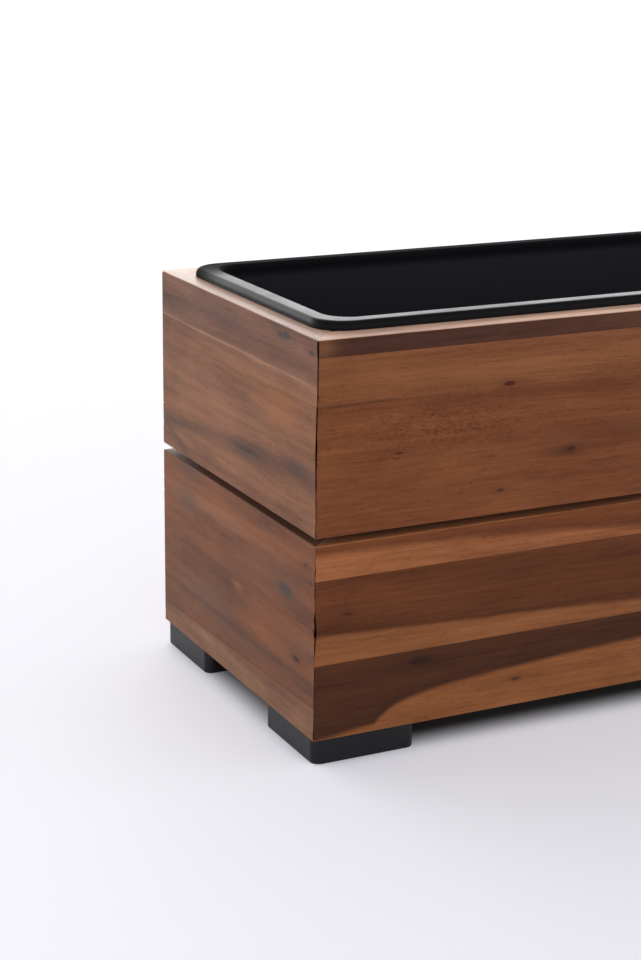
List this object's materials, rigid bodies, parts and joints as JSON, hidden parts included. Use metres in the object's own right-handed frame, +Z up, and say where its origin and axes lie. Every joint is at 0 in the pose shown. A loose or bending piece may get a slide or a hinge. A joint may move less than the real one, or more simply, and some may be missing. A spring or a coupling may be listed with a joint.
{
  "type": "planter box",
  "caption": "Rectangular planter box of mitred, laminated wooden boards in two tiers with a shadow gap, on low plastic feet, with a lift-out plastic liner that has a flat rim.",
  "frame": {"origin": "centre of the footprint, on the ground under the feet", "axes": "+X along the length, to the right seen from the front; +Y across the box, from the front to the rear; +Z up"},
  "size_m": [0.7, 0.255, 0.2925],
  "materials": {
    "boards": "oiled red-brown hardwood, laminated from staves, satin",
    "inner_wood": "planed and left bare",
    "feet": "moulded black, matt",
    "screws": "zinc plated",
    "liner": "moulded black, satin on the rim"
  },
  "bodies": {
    "box": {"board_front_lower": "boards", "board_rear_lower": "boards", "board_left_lower": "boards", "board_right_lower": "boards", "board_front_upper": "boards", "board_rear_upper": "boards", "board_left_upper": "boards", "board_right_upper": "boards", "corner_block_front_left": "inner_wood", "corner_block_front_right": "inner_wood", "corner_block_rear_left": "inner_wood", "corner_block_rear_right": "inner_wood", "batten_front": "inner_wood", "batten_rear": "inner_wood", "rail_front": "inner_wood", "rail_rear": "inner_wood", "rail_left": "inner_wood", "rail_right": "inner_wood", "floor_slat_1": "inner_wood", "floor_slat_2": "inner_wood", "floor_slat_3": "inner_wood", "floor_slat_4": "inner_wood", "floor_slat_5": "inner_wood", "floor_slat_6": "inner_wood", "foot_front_left": "feet", "foot_front_right": "feet", "foot_rear_left": "feet", "foot_rear_right": "feet", "block_screws": "screws", "batten_screws": "screws", "rail_screws": "screws", "slat_screws": "screws", "foot_screws": "screws"},
    "liner": {"liner": "liner"}
  },
  "joints": [
    {"name": "liner_lift", "type": "slide", "parent": "box", "child": "liner", "axis": [0, 0, 1], "range_m": [0, 0.26]}
  ]
}
